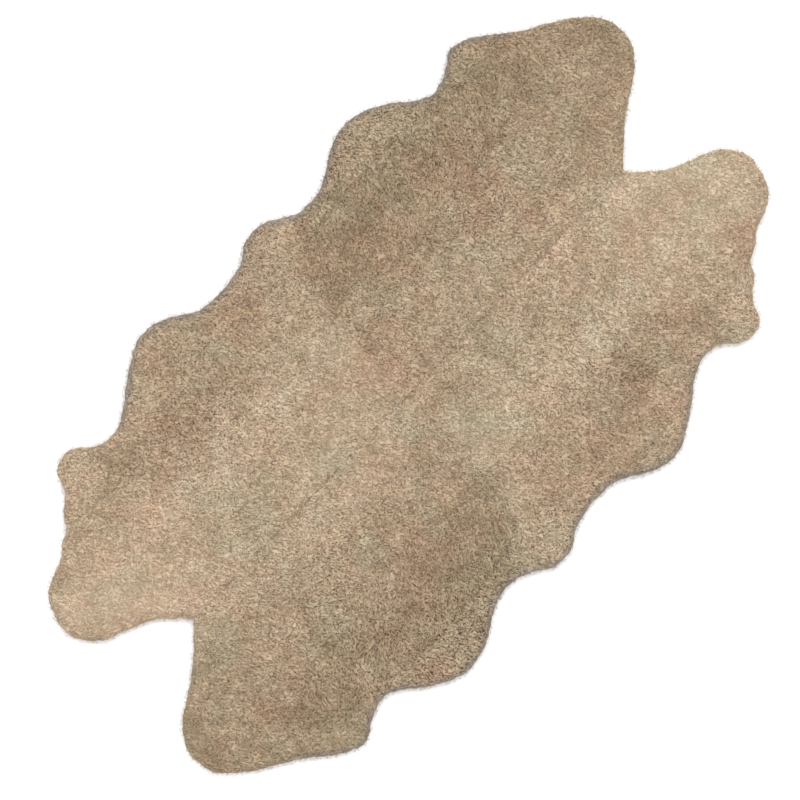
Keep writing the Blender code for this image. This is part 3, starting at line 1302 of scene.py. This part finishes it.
def bake_map(mesh, count):
    """A map for baking in which each strand has its own square."""
    uv = read(mesh.uv_layers["StrandUV"].data, "uv", 2, np.float32)
    vertex = read(mesh.loops, "vertex_index", kind=np.int32)
    own = read(mesh.attributes["own"].data, "value", kind=np.float32)
    own = own[vertex].astype(int)
    across = math.ceil(math.sqrt(count))
    square = np.stack([own % across, own // across], axis=1)
    inside = MAP_MARGIN + (1 - 2 * MAP_MARGIN) * np.clip(uv, 0, 1)
    layer = mesh.uv_layers.new(name="OFBake")
    layer.data.foreach_set("uv", ((square + inside) / across).astype(np.float32).ravel())


def lay_strands(name, places, values, tree, material):
    """One mesh of all the strands that are rooted at these places, mapped for baking."""
    strands = lay(name, places, values, tree, material)
    mesh = strands.data
    for used in ("turn", "size", "kind"):
        if used in mesh.attributes:
            mesh.attributes.remove(mesh.attributes[used])
    points = places_of(mesh)
    points[:, 2] = np.maximum(points[:, 2], FLOOR_GAP)
    move_to(mesh, points)
    bake_map(mesh, len(places))
    return strands


def lay_wool(piece, kinds, strands_on, material, draw, settings):
    """Lays the kinds of strand over the four fleeces, where strands_on says."""
    scatter, laying = scatter_tree(), laying_tree(kinds)
    for outline in OUTLINES.values():
        fleece = bpy.data.objects[outline.called("fleece")]
        places, values = strands_on(fleece, outline, scatter, settings, draw)
        carry(lay_strands(outline.called(piece), places, values, laying, material), outline)
    remove_kinds(kinds)


# ---------------------------------------------------------------- skins and seams


def skin_ring(outline, inset):
    """The outline with its free edges moved inward, less the points that would fold over."""
    ring = outline.ring
    along = np.roll(ring, -1, axis=0) - np.roll(ring, 1, axis=0)
    inward = unit(np.stack([-along[:, 1], along[:, 0]], axis=1)) * np.sign(signed_area(ring))
    wanted = SKIN_GAP + inset * smoothstep(distance_from(ring, outline.sewn), 0, 20 * MM)
    moved = ring + inward * wanted[:, None]
    return moved[distance_from(moved, outline.free) > 0.95 * wanted - SKIN_GAP]


def model_skin(outline, material, settings):
    """The suede of one pelt: its outline, moved in under the wool, as thick as suede is."""
    ring = skin_ring(outline, settings.inset)
    skin = model_block(outline.called("skin"), ring, 0, settings.thickness)
    finish_with(skin, material)
    return skin


def groove_seams(skin, outline):
    """Thins the skin along its sewn edges, so that the stitches lie in a shallow groove."""
    edit_faces(skin, lambda face: face.center.z < 0.1 * MM and abs(face.normal.z) > 0.9)
    bpy.ops.mesh.inset(thickness=GROOVE_WIDTH, depth=0, use_even_offset=False)
    object_mode()
    places = places_of(skin.data)
    sewn = distance_from(places, outline.sewn)
    places[(places[:, 2] < 0.1 * MM) & (sewn < MM), 2] = GROOVE_DEPTH
    move_to(skin.data, places)


def model_stitch(width):
    """One whip stitch across a seam: a short round thread that dives into the skin at its ends."""
    deselect_all()
    curve = bpy.data.curves.new("stitch", "CURVE")
    curve.dimensions = "3D"
    curve.bevel_depth = width / 2
    curve.bevel_resolution = 0
    curve.use_fill_caps = True
    spline = curve.splines.new("POLY")
    spline.points.add(len(STITCH) - 1)
    for point, (along, across, height) in zip(spline.points, STITCH):
        point.co = (along * MM, across * MM, height * MM, 1)
    only(new_object("00_stitch", curve))
    bpy.ops.object.convert(target="MESH")
    bpy.ops.object.shade_smooth()
    bpy.data.curves.remove(curve)
    return bpy.context.object


def stitch_places(segments, pitch):
    """A place and a direction at each pitch along a run of seam segments."""
    places, turns, left = [], [], pitch / 2
    for start, end in segments:
        run = end - start
        length = np.linalg.norm(run)
        while left < length:
            places.append((*(start + run * left / length), 0))
            turns.append((0, 0, math.atan2(run[1], run[0])))
            left += pitch
        left -= length
    return np.array(places), np.array(turns)


def seam_runs():
    """The segments of the seam along the rug and of the seam across it."""
    def on_long_seam(segments):
        return np.abs(segments[:, :, 0]).max(axis=1) < SEWN_WITHIN

    far_dark, far_light, near_dark = (OUTLINES[name].sewn for name in PELTS[:3])
    along = [far_dark[on_long_seam(far_dark)], near_dark[on_long_seam(near_dark)]]
    across = [far_dark[~on_long_seam(far_dark)], far_light[~on_long_seam(far_light)]]
    return {"seam_along": np.concatenate(along), "seam_across": np.concatenate(across)}


# ---------------------------------------------------------------- operators


def carry(piece, outline):
    """The piece rides on the rug, and stands for its pelt, which it hides."""
    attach(piece, "root")
    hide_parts(outline.name)


class RUG_OT_stage(bpy.types.Operator):
    """Sets the camera over the rug, with a pale floor and soft light"""

    bl_idname = "rug.stage"
    bl_label = "Stage"

    def execute(self, context):
        settings = context.scene.rug_stage
        scene = context.scene
        scene.view_settings.view_transform = "Standard"
        deselect_all()
        bpy.ops.mesh.primitive_plane_add(size=FLOOR_SIZE, location=(0, 0, -FLOOR_DROP))
        floor = context.object
        floor.name = "floor"
        bpy.ops.object.transform_apply(location=True)
        finish_with(floor, floor_finish("studio_floor"))
        world = bpy.data.worlds.new("studio")
        world.use_nodes = True
        background = world.node_tree.nodes["Background"]
        background.inputs["Color"].default_value = (1, 1, 1, 1)
        background.inputs["Strength"].default_value = settings.sky
        scene.world = world
        middle = Vector(settings.view_middle)
        light_place = middle + Vector(KEY_PLACE)
        bpy.ops.object.light_add(type="SUN", location=light_place)
        key = context.object
        key.name = "key_light"
        key.data.angle = KEY_ANGLE
        key.data.energy = settings.key
        key.rotation_euler = (middle - light_place).to_track_quat("-Z", "Y").to_euler()
        height = settings.view_width * settings.lens / SENSOR_WIDTH
        bpy.ops.object.camera_add(
            location=middle + Vector((0, 0, height)), rotation=(0, 0, settings.view_turn)
        )
        camera = context.object
        camera.name = "photo_camera"
        camera.data.lens = settings.lens
        camera.data.sensor_width = SENSOR_WIDTH
        scene.camera = camera
        return {"FINISHED"}


class RUG_OT_fleeces(bpy.types.Operator):
    """Mats the fleece of the whole rug in curls, and cuts it into the four pelts"""

    bl_idname = "rug.fleeces"
    bl_label = "Fleeces"

    def execute(self, context):
        settings = context.scene.rug_wool
        whole = model_whole_fleece(settings)
        relief = curl_tree()
        material = fleece_wool("fleece_wool")
        for outline in OUTLINES.values():
            piece = cut_fleece(whole, outline, relief, material, settings)
            if not piece.data.polygons:
                raise RuntimeError(piece.name + " came out empty")
            carry(piece, outline)
        remove(whole)
        return {"FINISHED"}


class RUG_OT_locks(bpy.types.Operator):
    """Models the kinds of lock, and lays them over the four fleeces"""

    bl_idname = "rug.locks"
    bl_label = "Locks"

    def execute(self, context):
        settings = context.scene.rug_wool
        kinds = model_strands("locks", LOCKS, LOCK_RADIUS, LOCK_ROOT)
        draw = np.random.default_rng(settings.seed)
        lay_wool("locks", kinds, locks_on, strand_wool("lock_wool"), draw, settings)
        return {"FINISHED"}


class RUG_OT_wisps(bpy.types.Operator):
    """Models the loose wisps, and lays them mostly along the free edges of the four pelts"""

    bl_idname = "rug.wisps"
    bl_label = "Wisps"

    def execute(self, context):
        settings = context.scene.rug_wool
        kinds = model_strands("wisps", WISPS, WISP_RADIUS, WISP_ROOT)
        draw = np.random.default_rng(settings.seed + 1)
        lay_wool("wisps", kinds, wisps_on, strand_wool("wisp_wool"), draw, settings)
        return {"FINISHED"}


class RUG_OT_skins(bpy.types.Operator):
    """Cuts the suede of the four pelts"""

    bl_idname = "rug.skins"
    bl_label = "Skins"

    def execute(self, context):
        settings = context.scene.rug_skin
        material = suede_leather("suede", settings.suede)
        for outline in OUTLINES.values():
            skin = model_skin(outline, material, settings)
            groove_seams(skin, outline)
            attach(skin, "root")
            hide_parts(outline.name)
            [outline.called(wool) for wool in WOOL_PIECES]
        return {"FINISHED"}


class RUG_OT_seams(bpy.types.Operator):
    """Whips the four skins together with thread, on their underside"""

    bl_idname = "rug.seams"
    bl_label = "Seams"

    def execute(self, context):
        settings = context.scene.rug_skin
        kinds = collect("stitches", [model_stitch(settings.thread_width)])
        laying = laying_tree(kinds)
        material = waxed_thread("sewing_thread", settings.thread)
        for name, segments in seam_runs().items():
            places, turns = stitch_places(segments, settings.stitch_pitch)
            values = {"turn": turns, "size": np.ones_like(turns), "kind": np.zeros(len(places))}
            seam = lay(name, places, values, laying, material)
            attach(seam, "root")
        remove_kinds(kinds)
        return {"FINISHED"}


class RUG_PT_panel(bpy.types.Panel):
    """The steps of the rug, in order, and their settings"""

    bl_idname = "RUG_PT_panel"
    bl_label = "Sheepskin rug"
    bl_space_type = "VIEW_3D"
    bl_region_type = "UI"
    bl_category = "Rug"

    def draw(self, context):
        for step in STEPS:
            self.layout.operator(step.bl_idname)
        for group, _ in SETTINGS:
            box = self.layout.box()
            settings = getattr(context.scene, group)
            for name in settings.bl_rna.properties.keys():
                if name not in {"rna_type", "name"}:
                    box.prop(settings, name)


STEPS = (
    RUG_OT_stage,
    RUG_OT_fleeces,
    RUG_OT_locks,
    RUG_OT_wisps,
    RUG_OT_skins,
    RUG_OT_seams,
)
SETTINGS = (("rug_wool", WoolSettings), ("rug_skin", SkinSettings), ("rug_stage", StageSettings))


def register():
    for name, group in SETTINGS:
        bpy.utils.register_class(group)
        setattr(bpy.types.Scene, name, bpy.props.PointerProperty(type=group))
    for step in STEPS:
        bpy.utils.register_class(step)
    bpy.utils.register_class(RUG_PT_panel)


def unregister():
    bpy.utils.unregister_class(RUG_PT_panel)
    for step in reversed(STEPS):
        bpy.utils.unregister_class(step)
    for name, group in reversed(SETTINGS):
        delattr(bpy.types.Scene, name)
        bpy.utils.unregister_class(group)


def main():
    register()
    bpy.ops.rug.stage()
    bpy.ops.rug.fleeces()
    bpy.ops.rug.locks()
    bpy.ops.rug.wisps()
    bpy.ops.rug.skins()
    bpy.ops.rug.seams()


if __name__ == "__main__":
    main()
